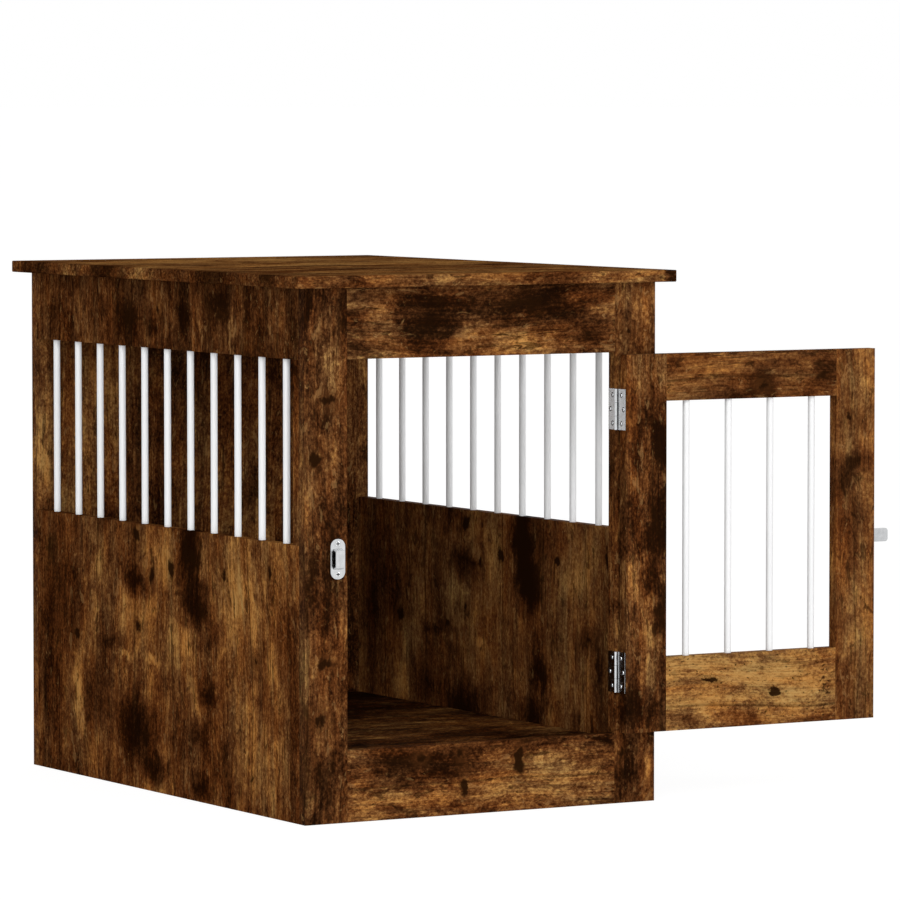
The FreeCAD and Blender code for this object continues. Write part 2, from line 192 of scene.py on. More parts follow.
# Colours from the darkest to the lightest level of the wood
OAK = (
    (0.00, (0.006, 0.002, 0.0006)),
    (0.15, (0.020, 0.006, 0.0016)),
    (0.32, (0.050, 0.016, 0.0044)),
    (0.46, (0.084, 0.028, 0.0080)),
    (0.60, (0.128, 0.048, 0.0130)),
    (0.75, (0.195, 0.084, 0.0240)),
    (0.88, (0.305, 0.141, 0.0360)),
    (1.00, (0.440, 0.235, 0.0700)),
)
SOOT = (0.0130, 0.0045, 0.0012, 1.0)
KNOT_HALO = (0.070, 0.023, 0.0060, 1.0)
FLECK = (0.36, 0.19, 0.066, 1.0)
# Factors on the colour, from ruddy to yellowish
TINTS = ((0.35, (1.10, 0.95, 0.80)), (0.65, (0.91, 1.05, 1.22)))

# Noise layers: cycles per metre across and along the grain, then detail, roughness and distortion
LAYERS = {
    "sway": (5.0, 2.4, 2.0, 0.5, 0.0),
    "smoky": (5.5, 2.6, 3.0, 0.6, 0.5),
    "broad": (17.0, 9.0, 5.0, 0.70, 0.6),
    "mottle": (62.0, 25.0, 6.0, 0.74, 0.8),
    "grit": (330.0, 210.0, 3.0, 0.65, 0.4),
    "fibre": (260.0, 10.0, 5.0, 0.66, 0.0),
    "warp": (38.0, 30.0, 4.0, 0.65, 0.0),
    "tint": (34.0, 6.0, 4.0, 0.65, 0.5),
    "flecks": (130.0, 80.0, 4.0, 0.7, 0.6),
    "knots": (27.0, 15.0, 3.0, 0.6, 1.0),
    "pores": (760.0, 24.0, 3.0, 0.6, 0.0),
    "chips": (95.0, 30.0, 5.0, 0.62, 0.8),
    "cracks": (70.0, 3.4, 3.0, 0.55, 0.3),
    "saw": (260.0, 190.0, 2.0, 0.5, 0.0),
}
# How far each layer moves the level
LEVEL_WEIGHTS = {
    "smoky": -0.7,
    "broad": 1.3,
    "mottle": 1.3,
    "grit": 1.2,
    "fibre": 0.6,
    "strip": 0.2,
    "stave": 0.8,
}
# Marks that grow with their factor: where they start, where they are full and how strong they get
MARKS = {
    # Painted light: faces that point up get lighter
    "top_light_lift": (0.7, 0.95, 1.0),
    "soot": (0.63, 0.84, 0.85),
    "flecks": (0.60, 0.75, 0.55),
    "knots": (0.63, 0.80, 0.95),
    "halo": (0.3, 0.9, 0.5),
    "rings": (0.30, 0.48, 1.0),
    "ring_reach": (0.05, 0.4, 0.25),
    "pores": (0.56, 0.72, 0.5),
    "seam": (0.475, 0.497, 0.45),
    "chips": (0.60, 0.625, 0.6),
    "crack_zone": (0.47, 0.58, 1.0),
    "saw": (0.62, 0.72, 0.8),
}
# Marks that fade with their factor: where they are full, where they are gone and how strong they are
FADES = {
    "off_soot": (0.1, 0.6, 1.0),
    "off_dark": (0.15, 0.6, 1.0),
    "off_knots": (0.0, 0.4, 1.0),
    "pale_chips": (0.365, 0.39, 0.25),
    "cracks": (0.0, 0.016, 0.8),
}

# Each seed moves a board to another place in the noise, in metres
SEED_STEP = (1.37, 2.11, 0.73)
# Lengths, in metres, by which noise bends the grain and the edges of the patches
SWAY_REACH, RAGGED_REACH, CALM_REACH = 0.05, 0.055, 0.03
# Staves lie in wider strips; each stave takes its own row of the noise
STAVE_WIDTH, STRIP_WIDTH = 0.031, 0.105
STAVE_STEP, STAVE_CYCLES = 7.31, 7.0
STAVE_DETAIL, STAVE_ROUGHNESS = 2.0, 0.5

MIDDLE_LEVEL, GOLD_LIFT, DARK_DROP = 0.48, 0.42, 0.40
# Limit and softness of the lowest and of the highest level
LEAST_LEVEL, MOST_LEVEL = (0.03, 0.30), (0.97, 0.35)
DARK_SPREAD, FIBRE_SHADE, WOOD_ROUGHNESS = (0.65, 1.35), (0.86, 1.13), (0.46, 0.62)
SOOT_BROAD, SOOT_MOTTLE, SOOT_PATCHES = 0.9, 0.8, 0.24
KNOT_LIFT, HALO_SIZE, RING_COUNT = 0.35, 2.6, 5.0
SAWN_LIFT = 0.14
PORE_DEPTH, WOOD_BUMP, WOOD_BUMP_DISTANCE = 0.8, 0.25, 0.0004
WOOD_SHEEN = 0.004


def layer(tree, grain, name, output=0):
    across, along, detail, roughness, distortion = LAYERS[name]
    vector = scaled(tree, grain, (across, along, across))
    return noise(tree, vector, detail, roughness, distortion, output)


def mark(tree, factor, name, shift=0.0, strength=1.0):
    start, full, most = MARKS[name]
    return step_between(tree, factor, start - shift, full - shift, 0.0, most * strength)


def fade(tree, factor, name, strength=1.0):
    full, gone, most = FADES[name]
    return step_between(tree, factor, full, gone, most * strength, 0.0)


def patch_sum(tree, spot, patches):
    """Soft ellipses (across, along, half width, half length, weight), in millimetres, added together."""
    total = 0.0
    for across, along, wide, long, weight in patches:
        place = add(
            tree,
            "ShaderNodeMapping",
            {
                "Vector": spot,
                "Location": (-across / wide, -along / long, 0.0),
                "Scale": (MILLIMETRES_PER_METRE / wide, MILLIMETRES_PER_METRE / long, 0.0),
            },
        )
        soft = add(tree, "ShaderNodeTexGradient", {0: place.outputs[0]}, gradient_type="SPHERICAL")
        total = calc(tree, "MULTIPLY_ADD", soft.outputs[1], weight, total)
    return total


def grain_space(tree, look):
    """The place on the board in the order of its axes, and the same place shifted and swaying."""
    across, along, depth = look["axes"]
    parts = split(tree, object_place(tree))
    spot = joined(tree, parts[across], parts[along], parts[depth])
    grain = vector_calc(tree, "ADD", spot, tuple(look["seed"] * step for step in SEED_STEP))
    sway = times(tree, centred(tree, layer(tree, grain, "sway")), SWAY_REACH)
    return spot, vector_calc(tree, "ADD", grain, joined(tree, sway))


def warped(tree, spot, warp, reach):
    return vector_calc(tree, "ADD", scaled(tree, warp, (reach, reach, 0.0)), spot)


def staves(tree, grain):
    """The tone of the strips, the tone of the staves, and the seams between strips."""
    width, length = split(tree, grain)[:2]
    number = calc(tree, "FLOOR", calc(tree, "DIVIDE", width, STAVE_WIDTH))
    row = joined(tree, times(tree, number, STAVE_STEP), times(tree, length, STAVE_CYCLES))
    stave = noise(tree, row, STAVE_DETAIL, STAVE_ROUGHNESS)
    strips = calc(tree, "DIVIDE", width, STRIP_WIDTH)
    number = calc(tree, "FLOOR", strips)
    strip = add(tree, "ShaderNodeTexWhiteNoise", {"W": number}, noise_dimensions="1D").outputs[0]
    seam = mark(tree, off_middle(tree, calc(tree, "FRACT", strips)), "seam")
    return strip, stave, seam


def wood_level(tree, look, layers, dark, gold):
    lift = times(tree, gold, GOLD_LIFT * look.get("share", 1.0))
    level = calc(tree, "SUBTRACT", lift, times(tree, dark, DARK_DROP))
    level = calc(tree, "ADD", level, MIDDLE_LEVEL + look.get("tone", 0.0))
    # Painted light: faces that point up are made lighter
    if "painted_top_light" in look:
        normal = add(tree, "ShaderNodeTexCoord").outputs["Normal"]
        top_light_lift = mark(tree, split(tree, normal)[Z], "top_light_lift", strength=look["painted_top_light"])
        level = calc(tree, "ADD", level, top_light_lift)
    for name, weight in LEVEL_WEIGHTS.items():
        level = plus(tree, level, centred(tree, layers[name]), weight * look.get("contrast", 1.0))
    level = calc(tree, "SMOOTH_MAX", level, *LEAST_LEVEL)
    return calc(tree, "SMOOTH_MIN", level, *MOST_LEVEL)


def soot_marks(tree, look, layers, dark, gold):
    soot = plus(tree, layers["smoky"], centred(tree, layers["broad"]), SOOT_BROAD)
    soot = plus(tree, soot, centred(tree, layers["mottle"]), SOOT_MOTTLE)
    soot = plus(tree, soot, calc(tree, "SUBTRACT", dark, gold), SOOT_PATCHES)
    return mark(tree, soot, "soot", shift=look.get("smoke", 0.0))


def add_halos(tree, colour, knots, calm, mottle):
    """Brown halos with thin rings about the placed knots."""
    wider = [(a, l, HALO_SIZE * w, HALO_SIZE * h, 1.0) for a, l, w, h, _ in knots]
    halo = patch_sum(tree, calm, wider)
    rings = calc(tree, "FRACT", calc(tree, "ADD", times(tree, halo, RING_COUNT), mottle))
    rings = mark(tree, off_middle(tree, rings), "rings")
    rings = times(tree, rings, mark(tree, halo, "ring_reach"))
    colour = blend(tree, mark(tree, halo, "halo"), colour, KNOT_HALO)
    return blend(tree, rings, colour, SOOT)


def oak(name, look):
    """Smoked oak for one board, with the look that BOARDS gives it."""
    material, tree = new_material(name)
    wear = look.get("wear", 1.0)
    spot, grain = grain_space(tree, look)
    layers = {key: layer(tree, grain, key) for key in ("smoky", "broad", "mottle", "grit", "fibre")}
    layers["strip"], layers["stave"], seam = staves(tree, grain)
    mottle, fibre = layers["mottle"], layers["fibre"]

    warp = layer(tree, grain, "warp", output=1)
    warp = vector_calc(tree, "SUBTRACT", warp, (NOISE_MIDDLE, NOISE_MIDDLE, NOISE_MIDDLE))
    ragged = warped(tree, spot, warp, RAGGED_REACH)
    calm = warped(tree, spot, warp, CALM_REACH)
    dark = patch_sum(tree, ragged, look.get("dark", ()))
    dark = times(tree, dark, spread(tree, mottle, *DARK_SPREAD))
    gold = patch_sum(tree, ragged, look.get("gold", ()))

    colour = ramp(tree, wood_level(tree, look, layers, dark, gold), OAK)
    colour = blend(tree, 1.0, colour, spread(tree, fibre, *FIBRE_SHADE), "MULTIPLY")
    tint = calc(tree, "SUBTRACT", layer(tree, grain, "tint"), look.get("ruddy", 0.0))
    colour = blend(tree, 1.0, colour, ramp(tree, tint, TINTS), "MULTIPLY")

    soot = soot_marks(tree, look, layers, dark, gold)
    colour = blend(tree, soot, colour, SOOT)
    clear = times(tree, fade(tree, soot, "off_soot"), fade(tree, dark, "off_dark"))
    flecks = mark(tree, layer(tree, grain, "flecks"), "flecks")
    colour = blend(tree, times(tree, flecks, clear), colour, FLECK)

    burnt = patch_sum(tree, calm, look.get("knots", ()))
    knots = mark(tree, plus(tree, layer(tree, grain, "knots"), burnt, KNOT_LIFT), "knots")
    if "knots" in look:
        colour = add_halos(tree, colour, look["knots"], calm, mottle)
    colour = blend(tree, knots, colour, SOOT)

    pores = mark(tree, layer(tree, grain, "pores"), "pores", strength=wear)
    colour = blend(tree, pores, colour, SOOT)
    colour = blend(tree, seam, colour, SOOT)

    chips = layer(tree, grain, "chips")
    colour = blend(tree, mark(tree, chips, "chips", strength=wear), colour, SOOT)
    pale = times(tree, fade(tree, chips, "pale_chips"), clear)
    pale = times(tree, pale, fade(tree, knots, "off_knots"))
    colour = blend(tree, pale, colour, FLECK)

    cracks = off_middle(tree, layer(tree, grain, "cracks"))
    cracks = fade(tree, cracks, "cracks", strength=wear)
    cracks = times(tree, cracks, mark(tree, layers["broad"], "crack_zone"))
    colour = blend(tree, cracks, colour, SOOT)

    if "sawn" in look:
        sawn = patch_sum(tree, calm, look["sawn"])
        saw = plus(tree, layer(tree, grain, "saw"), sawn, SAWN_LIFT)
        colour = blend(tree, mark(tree, saw, "saw"), colour, SOOT)

    roughness = spread(tree, mottle, *WOOD_ROUGHNESS)
    height = calc(tree, "SUBTRACT", fibre, times(tree, pores, PORE_DEPTH))
    bump = (height, WOOD_BUMP, WOOD_BUMP_DISTANCE)
    surface(tree, colour, roughness, bump, specular=look.get("sheen", WOOD_SHEEN))
    return material


# The look of each board. Its axes cross, follow and enter the grain. Tone and contrast set the level,
# the top light key lifts what faces up as painted light, smoke brings more soot, ruddy more red, and
# wear more chips, pores and cracks. Share scales the gold, and sheen is the gloss. Dark, gold, knots and
# sawn are for patch_sum.
SIDE_DARK = (
    (-75, 315, 36, 56, 1.9),
    (-90, 255, 40, 44, 1.9),
    (70, 272, 50, 30, 1.4),
    (66, 74, 78, 56, 1.35),
    (-98, 84, 42, 32, 1.2),
    (-104, 22, 34, 28, 1.6),
    (24, 28, 54, 30, 1.5),
    (-125, 142, 30, 24, 1.3),
    (-270, 150, 18, 70, 0.8),
    (180, 105, 70, 75, 0.9),
    (320, 230, 70, 200, 0.7),
    (150, 182, 60, 12, 0.8),
    (255, 210, 16, 80, 0.6),
    (-340, 150, 40, 200, 0.5),
)
SIDE_GOLD = (
    (-205, 275, 80, 95, 1.1),
    (0, 300, 60, 60, 0.8),
    (100, 230, 40, 70, 1.0),
    (-200, 110, 75, 90, 0.8),
    (243, 110, 22, 105, 1.2),
    (28, 169, 24, 9, 1.2),
    (112, 169, 32, 8, 1.1),
    (-40, 195, 50, 50, 0.7),
)
SIDE_KNOTS = (
    (-168, 293, 9, 15, 1.2),
    (-20, 292, 13, 18, 1.2),
    (32, 280, 10, 14, 1.1),
    (72, 327, 13, 14, 1.1),
    (-288, 308, 9, 24, 1.1),
    (-250, 195, 18, 14, 1.1),
    (-175, 45, 12, 18, 1.0),
    (245, 192, 18, 14, 1.1),
    (122, 188, 12, 10, 1.0),
    (72, 215, 10, 14, 1.0),
)
BOARDS = {
    "top_panel": {
        "axes": (Y, X, Z),
        "seed": 1,
        "tone": 0.11,
        "smoke": -0.03,
        "sheen": 0.0,
        "painted_top_light": 0.07,
        "dark": (
            (310, -275, 110, 60, 0.9),
            (120, -275, 90, 40, 0.8),
            (-120, -275, 150, 24, 0.7),
            (-330, -275, 60, 20, 0.6),
            (-400, 270, 40, 18, 1.4),
            (-400, 100, 30, 60, 0.8),
        ),
    },
    "floor_panel": {
        "axes": (Y, X, Z),
        "seed": 2,
        "tone": -0.10,
        "contrast": 1.4,
        "dark": (
            (-300, -90, 16, 120, 1.0),
            (300, 100, 150, 250, 0.8),
            (-190, 60, 36, 150, 0.7),
            (-60, -80, 30, 120, 0.7),
        ),
        "gold": (
            (-378, -110, 14, 150, 1.2),
            (-345, -70, 20, 170, 1.0),
            (-250, -110, 24, 130, 0.9),
            (-120, -130, 24, 110, 0.7),
        ),
    },
    "back_panel": {"axes": (X, Z, Y), "seed": 3},
    "left_upper_board": {
        "axes": (Y, Z, X),
        "seed": 4,
        "sheen": 0.0,
        "tone": -0.11,
        "contrast": 0.85,
        "smoke": 0.04,
        "dark": (
            (-165, 638, 45, 34, 1.0),
            (-60, 620, 20, 24, 1.0),
            (30, 604, 26, 18, 0.6),
            (98, 612, 44, 36, 0.7),
        ),
        "gold": ((-188, 610, 12, 60, 0.9), (40, 588, 22, 20, 0.8), (-320, 620, 30, 60, 0.6)),
        "knots": ((10, 625, 14, 12, 1.0),),
    },
    "left_lower_board": {
        "axes": (Y, Z, X),
        "seed": 5,
        "sheen": 0.0,
        "tone": 0.09,
        "ruddy": 0.07,
        "contrast": 0.9,
        "smoke": -0.04,
        "dark": SIDE_DARK,
        "gold": SIDE_GOLD,
        "knots": SIDE_KNOTS,
    },
    "left_front_post": {"axes": (Y, Z, X), "seed": 6, "sheen": 0.0},
    "right_upper_board": {"axes": (Y, Z, X), "seed": 7},
    "right_lower_board": {
        "axes": (Y, Z, X),
        "seed": 5,
        "tone": 0.10,
        "contrast": 0.75,
        "share": 0.5,
        "smoke": -0.04,
        "dark": SIDE_DARK,
        "gold": SIDE_GOLD,
        "knots": SIDE_KNOTS,
    },
    "right_front_post": {"axes": (Y, Z, X), "seed": 9},
    "front_left_stile": {
        "axes": (X, Z, Y),
        "seed": 10,
        "tone": -0.12,
        "ruddy": -0.05,
        "dark": (
            (-250, 640, 14, 60, 0.9),
            (-246, 300, 14, 60, 0.7),
            (-212, 335, 24, 70, 0.9),
            (-215, 75, 16, 26, 0.8),
        ),
        "gold": (
            (-215, 570, 18, 70, 0.7),
            (-216, 455, 16, 60, 0.7),
            (-240, 615, 10, 50, 0.6),
            (-230, 20, 30, 30, 0.5),
        ),
        "knots": (
            (-222, 525, 18, 14, 1.3),
            (-225, 198, 18, 12, 1.3),
            (-235, 130, 14, 16, 1.2),
            (-240, 455, 12, 14, 1.1),
        ),
    },
    "front_right_stile": {
        "axes": (X, Z, Y),
        "seed": 11,
        "tone": -0.01,
        "dark": ((206, 45, 16, 55, 1.0),),
        "gold": ((240, 50, 20, 60, 0.6), (230, 640, 30, 50, 0.5)),
        "knots": ((212, 605, 14, 11, 1.3), (205, 66, 5, 16, 1.2)),
    },
    "front_top_rail": {
        "axes": (Z, X, Y),
        "seed": 12,
        "tone": -0.02,
        "ruddy": -0.05,
        "dark": (
            (622, -76, 46, 74, 1.15),
            (640, 80, 34, 110, 1.2),
            (600, 158, 30, 40, 1.1),
            (590, -182, 22, 24, 0.9),
        ),
        "gold": ((596, 0, 24, 95, 0.9), (630, -152, 34, 38, 0.7), (588, 70, 14, 60, 0.7)),
    },
    "front_bottom_rail": {
        "axes": (Z, X, Y),
        "seed": 13,
        "tone": 0.05,
        "ruddy": 0.03,
        "contrast": 1.1,
        "smoke": -0.06,
        "dark": (
            (80, -130, 38, 80, 0.8),
            (72, -70, 28, 100, 0.9),
            (88, 30, 22, 70, 1.0),
            (82, 95, 18, 55, 0.9),
            (84, 178, 9, 24, 1.0),
            (8, -58, 10, 28, 0.9),
        ),
        "gold": ((44, 132, 46, 85, 1.1), (26, -150, 24, 50, 0.5), (20, -20, 24, 150, 0.4)),
        "knots": (
            (66, 56, 26, 10, 1.3),
            (36, -26, 15, 10, 1.6),
            (78, -90, 12, 12, 1.0),
            (78, -33, 12, 9, 1.0),
        ),
    },
    "left_floor_cleat": {"axes": (Z, Y, X), "seed": 14},
    "right_floor_cleat": {"axes": (Z, Y, X), "seed": 15},
    "door_hinge_stile": {
        "axes": (X, Z, Y),
        "seed": 16,
        "tone": -0.08,
        "dark": (
            (247, 462, 14, 42, 1.2),
            (238, 350, 22, 90, 1.2),
            (246, 252, 18, 46, 1.3),
            (205, 125, 18, 44, 0.9),
            (236, 118, 18, 36, 0.8),
        ),
        "gold": (
            (206, 300, 16, 60, 0.9),
            (224, 180, 16, 60, 0.9),
            (250, 415, 8, 26, 0.6),
            (210, 540, 24, 40, 0.5),
        ),
    },
    "door_latch_stile": {
        "axes": (X, Z, Y),
        "seed": 17,
        "tone": 0.10,
        "contrast": 0.8,
        "smoke": -0.04,
        "dark": (
            (530, 410, 28, 38, 0.8),
            (554, 428, 26, 24, 0.8),
            (520, 372, 16, 46, 0.5),
            (545, 350, 30, 30, 0.4),
        ),
        "gold": ((560, 500, 22, 90, 0.2), (548, 240, 32, 130, 0.2)),
        "knots": ((536, 484, 7, 9, 1.0), (556, 478, 5, 7, 1.0)),
    },
    "door_top_rail": {
        "axes": (Z, X, Y),
        "seed": 18,
        "tone": 0.0,
        "contrast": 0.8,
        "dark": ((530, 400, 34, 26, 0.8), (545, 498, 36, 30, 0.8), (520, 350, 12, 60, 0.6)),
        "gold": ((548, 325, 26, 75, 0.3), (556, 440, 18, 60, 0.25)),
        "knots": ((530, 401, 12, 12, 1.0),),
    },
    "door_bottom_rail": {
        "axes": (Z, X, Y),
        "seed": 19,
        "tone": 0.22,
        "wear": 0.5,
        "smoke": -0.10,
        "dark": (
            (106, 287, 18, 24, 0.9),
            (175, 360, 14, 30, 0.6),
            (105, 380, 14, 26, 0.6),
            (140, 504, 40, 16, 0.5),
        ),
        "gold": ((140, 330, 60, 120, 0.5), (130, 450, 50, 60, 0.5)),
        "knots": ((134, 419, 7, 11, 2.4), (153, 320, 4, 16, 1.4)),
        "sawn": ((138, 498, 44, 13, 1.0),),
    },
}
# Widths of the eased edges, in metres
BOARD_EDGE, BOLT_EDGE, PLATE_EDGE, LEAF_EDGE = 0.0007, 0.0004, 0.0003, 0.0002
EDGE_SEGMENTS, EDGE_ANGLE = 2, math.radians(40)


def ease_edges(item, width):
    edge = item.modifiers.new("eased_edges", "BEVEL")
    edge.width = width
    edge.segments = EDGE_SEGMENTS
    edge.limit_method = "ANGLE"
    edge.angle_limit = EDGE_ANGLE


def dress(item, material, edge_width):
    item.data.materials.clear()
    item.data.materials.append(material)
    if edge_width:
        ease_edges(item, edge_width)


def dress_boards():
    for name, look in BOARDS.items():
        dress(nodes[name], oak("oak_" + name, look), BOARD_EDGE)


# Metal

BAR_CYCLES, BAR_DETAIL, BAR_NOISE_ROUGHNESS = (14.0, 14.0, 6.0), 0.0, 0.5
BAR_DULL, BAR_BRIGHT = (0.75, 0.755, 0.76), (0.78, 0.784, 0.79)
BAR_ROUGHNESS, BAR_METALLIC = (0.46, 0.54), 0.15

# Cycles per metre of the brushing along x, y and z, then the reflectance of each zinc part
LEAF_ZINC = ((1500.0, 1500.0, 40.0), 0.66)
PLATE_ZINC = ((40.0, 1500.0, 1500.0), 0.62)
BOLT_ZINC = ((40.0, 1500.0, 1500.0), 0.53)
SCREW_ZINC = ((900.0, 900.0, 900.0), 0.8)
BRUSH_DETAIL, ZINC_CLOUD_DETAIL, ZINC_NOISE_ROUGHNESS = 3.0, 4.0, 0.6
ZINC_CLOUD_CYCLES = (120.0, 120.0, 120.0)
ZINC_HUE, ZINC_VARIATION = (0.97, 0.985, 1.0), 0.06
ZINC_ROUGHNESS, ZINC_BUMP, ZINC_BUMP_DISTANCE = (0.14, 0.26), 0.15, 0.00008
# Painted shade in the crevices of the zinc: reach and samples of the occlusion, the span it is read
# over, and the dark colour
PAINTED_SHADE_DISTANCE, PAINTED_SHADE_SAMPLES, PAINTED_SHADE_SPAN = 0.008, 8, (0.40, 0.70)
PAINTED_SHADE_COLOUR = (0.012, 0.012, 0.012, 1.0)

# Painted shade in the recesses and rings of the screws: noise cycles, detail and roughness, two dark
# colours, roughness and gloss
RECESS_CYCLES, RECESS_DETAIL, RECESS_NOISE_ROUGHNESS = (900.0, 900.0, 900.0), 3.0, 0.6
RECESS_SHADE_DARKER, RECESS_SHADE_LIGHTER = (0.012, 0.012, 0.013), (0.03, 0.03, 0.032)
RECESS_ROUGHNESS, RECESS_SHEEN = 0.7, 0.1


def bar_metal():
    material, tree = new_material("bar_metal")
    vector = scaled(tree, object_place(tree), BAR_CYCLES)
    cloud = noise(tree, vector, BAR_DETAIL, BAR_NOISE_ROUGHNESS)
    colour = two_tone(tree, cloud, BAR_DULL, BAR_BRIGHT)
    surface(tree, colour, spread(tree, cloud, *BAR_ROUGHNESS), metallic=BAR_METALLIC)
    return material


def zinc(name, brushed, shine):
    """Zinc plate, brushed along the axis whose cycles are few, with painted shade in its crevices."""
    material, tree = new_material(name)
    place = object_place(tree)
    brush = noise(tree, scaled(tree, place, brushed), BRUSH_DETAIL, ZINC_NOISE_ROUGHNESS)
    cloud = scaled(tree, place, ZINC_CLOUD_CYCLES)
    cloud = noise(tree, cloud, ZINC_CLOUD_DETAIL, ZINC_NOISE_ROUGHNESS)
    # Painted shade: where little is open around a point, the colour goes dark
    unshaded_share = add(
        tree,
        "ShaderNodeAmbientOcclusion",
        {"Distance": PAINTED_SHADE_DISTANCE},
        samples=PAINTED_SHADE_SAMPLES,
    ).outputs[1]
    unshaded_share = step_between(tree, unshaded_share, *PAINTED_SHADE_SPAN)
    dull, bright = [
        tuple(part * level for part in ZINC_HUE)
        for level in (shine - ZINC_VARIATION, shine + ZINC_VARIATION)
    ]
    colour = blend(tree, unshaded_share, PAINTED_SHADE_COLOUR, two_tone(tree, cloud, dull, bright))
    bump = (brush, ZINC_BUMP, ZINC_BUMP_DISTANCE)
    surface(tree, colour, spread(tree, brush, *ZINC_ROUGHNESS), bump, metallic=1.0)
    return material


def shadow_metal():
    """Dull dark metal for the recesses and countersunk rings of the screws; its darkness is painted
    shade.
    """
    material, tree = new_material("painted_shade_recess")
    vector = scaled(tree, object_place(tree), RECESS_CYCLES)
    cloud = noise(tree, vector, RECESS_DETAIL, RECESS_NOISE_ROUGHNESS)
    colour = two_tone(tree, cloud, RECESS_SHADE_DARKER, RECESS_SHADE_LIGHTER)
    surface(tree, colour, RECESS_ROUGHNESS, specular=RECESS_SHEEN)
    return material


def dress_metal():
    bars = bar_metal()
    leaf = zinc("zinc_leaf", *LEAF_ZINC)
    plate = zinc("zinc_plate", *PLATE_ZINC)
    bolt = zinc("zinc_bolt", *BOLT_ZINC)
    for name, item in nodes.items():
        if "_bar_" in name:
            dress(item, bars, 0.0)
        elif name in ("latch_bolt", "latch_knob"):
            dress(item, bolt, BOLT_EDGE)
        elif name.startswith("latch_"):
            dress(item, plate, PLATE_EDGE)
        elif "_hinge_" in name and not name.endswith("_stile"):
            dress(item, leaf, LEAF_EDGE)


# Screws, with lengths in metres

# Head radius, rise of the dome and width of the countersunk ring, which takes the painted shade
HINGE_HEAD = (0.0027, 0.0016, 0.0006)
PLATE_HEAD = (0.0033, 0.0004, 0.0001)
# Heights above the seat of the ring's outer edge and of the dome's foot
RING_HEIGHT, FOOT_HEIGHT = 0.00004, 0.00002
DOME_ANGLES = (math.radians(12), math.radians(26), math.radians(40))
ARMS, ARM_CORNERS, QUARTER_SIDES = 4, 3, 7
# Reach and half width of the cross as shares of the head radius
CROSS_REACH_SHARE, CROSS_HALF_WIDTH_SHARE = 0.74, 0.20
CROSS_DEPTH, CROSS_TAPER, CROSS_LEAST_SHARE = 0.0007, 0.8, 0.2

# Distances of the hinge screws from the pin and above or below its middle
HINGE_NEAR, HINGE_FAR, HINGE_RISE = 0.0105, 0.0155, 0.018
HINGE_FIRST_TURN = 0.4
LEAF_THICKNESS, PLATE_THICKNESS = 0.0012, 0.0015
PLATE_RISE, BASE_PLATE_REACH = 0.019, 0.018


def dome_rings(work, profile):
    count = ARMS * QUARTER_SIDES
    turns = [math.tau * index / count for index in range(count)]
    rings = [
        [work.verts.new((radius * math.cos(a), radius * math.sin(a), height)) for a in turns]
        for radius, height in profile
    ]
    for level, (low, high) in enumerate(zip(rings, rings[1:])):
        for index in range(count):
            following = (index + 1) % count
            corners = (low[index], low[following], high[following], high[index])
            work.faces.new(corners).material_index = 1 if level == 0 else 0
    return rings


def cross_corners(head_radius):
    far, near = CROSS_REACH_SHARE * head_radius, CROSS_HALF_WIDTH_SHARE * head_radius
    cross = []
    for arm in range(ARMS):
        turn = Matrix.Rotation(arm * math.tau / ARMS, 2)
        cross += [turn @ Vector(corner) for corner in ((far, -near), (far, near), (near, near))]
    return cross


def screw_head(name, head_radius, rise, ring):
    """A domed head with a cross recess in a countersunk ring, its seat at z = 0 and its axis along +z.

    The faces of the ring and of the recess take the second material, which paints shade there.
    """
    mesh = bpy.data.meshes.new(name)
    work = bmesh.new()
    profile = [(head_radius + ring, RING_HEIGHT), (head_radius, FOOT_HEIGHT)]
    for angle in DOME_ANGLES:
        profile.append((head_radius * math.cos(angle), FOOT_HEIGHT + rise * math.sin(angle)))
    crown = dome_rings(work, profile)[-1]

    cross = cross_corners(head_radius)
    top = profile[-1][1]
    bottom = max(top - CROSS_DEPTH, CROSS_LEAST_SHARE * top)
    mouth = [work.verts.new((x, y, top)) for x, y in cross]
    pit = [work.verts.new((x * CROSS_TAPER, y * CROSS_TAPER, bottom)) for x, y in cross]
    for arm in range(ARMS):
        first, corner = arm * QUARTER_SIDES, arm * ARM_CORNERS
        right, left, inner = mouth[corner : corner + ARM_CORNERS]
        following = mouth[(corner + ARM_CORNERS) % len(mouth)]
        work.faces.new((right, crown[first - 1], crown[first], crown[first + 1], left))
        arc = [crown[first + step] for step in range(1, QUARTER_SIDES)]
        work.faces.new((left, *arc, following, inner))
    for index in range(len(mouth)):
        side = work.faces.new((mouth[index - 1], mouth[index], pit[index], pit[index - 1]))
        side.material_index = 1
    work.faces.new(pit).material_index = 1
    work.to_mesh(mesh)
    work.free()
    return mesh


def put_screw(name, body, materials, place, outward, turn, head):
    mesh = screw_head(name, *head)
    for material in materials:
        mesh.materials.append(material)
    screw = bpy.data.objects.new(name, mesh)
    bpy.context.scene.collection.objects.link(screw)
    facing = Vector((0, 0, 1)).rotation_difference(Vector(outward)).to_matrix().to_4x4()
    screw.matrix_world = Matrix.Translation(place) @ facing @ Matrix.Rotation(turn, 4, "Z")
    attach(screw, body)


def add_hinge_screws(materials):
    rows = ((HINGE_NEAR, -1), (HINGE_FAR, 0), (HINGE_NEAR, 1))
    for hinge in ("upper", "lower"):
        low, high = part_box(hinge + "_hinge_pin")
        middle = (low + high) / 2
        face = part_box(hinge + "_hinge_frame_leaf")[1].x - LEAF_THICKNESS
        for body, side in (("cabinet", 1), ("door", -1)):
            for index, (reach, step) in enumerate(rows):
                name = f"{hinge}_{body}_screw_{index + 1}"
                place = (face, middle.y + side * reach, middle.z + step * HINGE_RISE)
                turn = HINGE_FIRST_TURN + index
                put_screw(name, body, materials, place, (-1, 0, 0), turn, HINGE_HEAD)


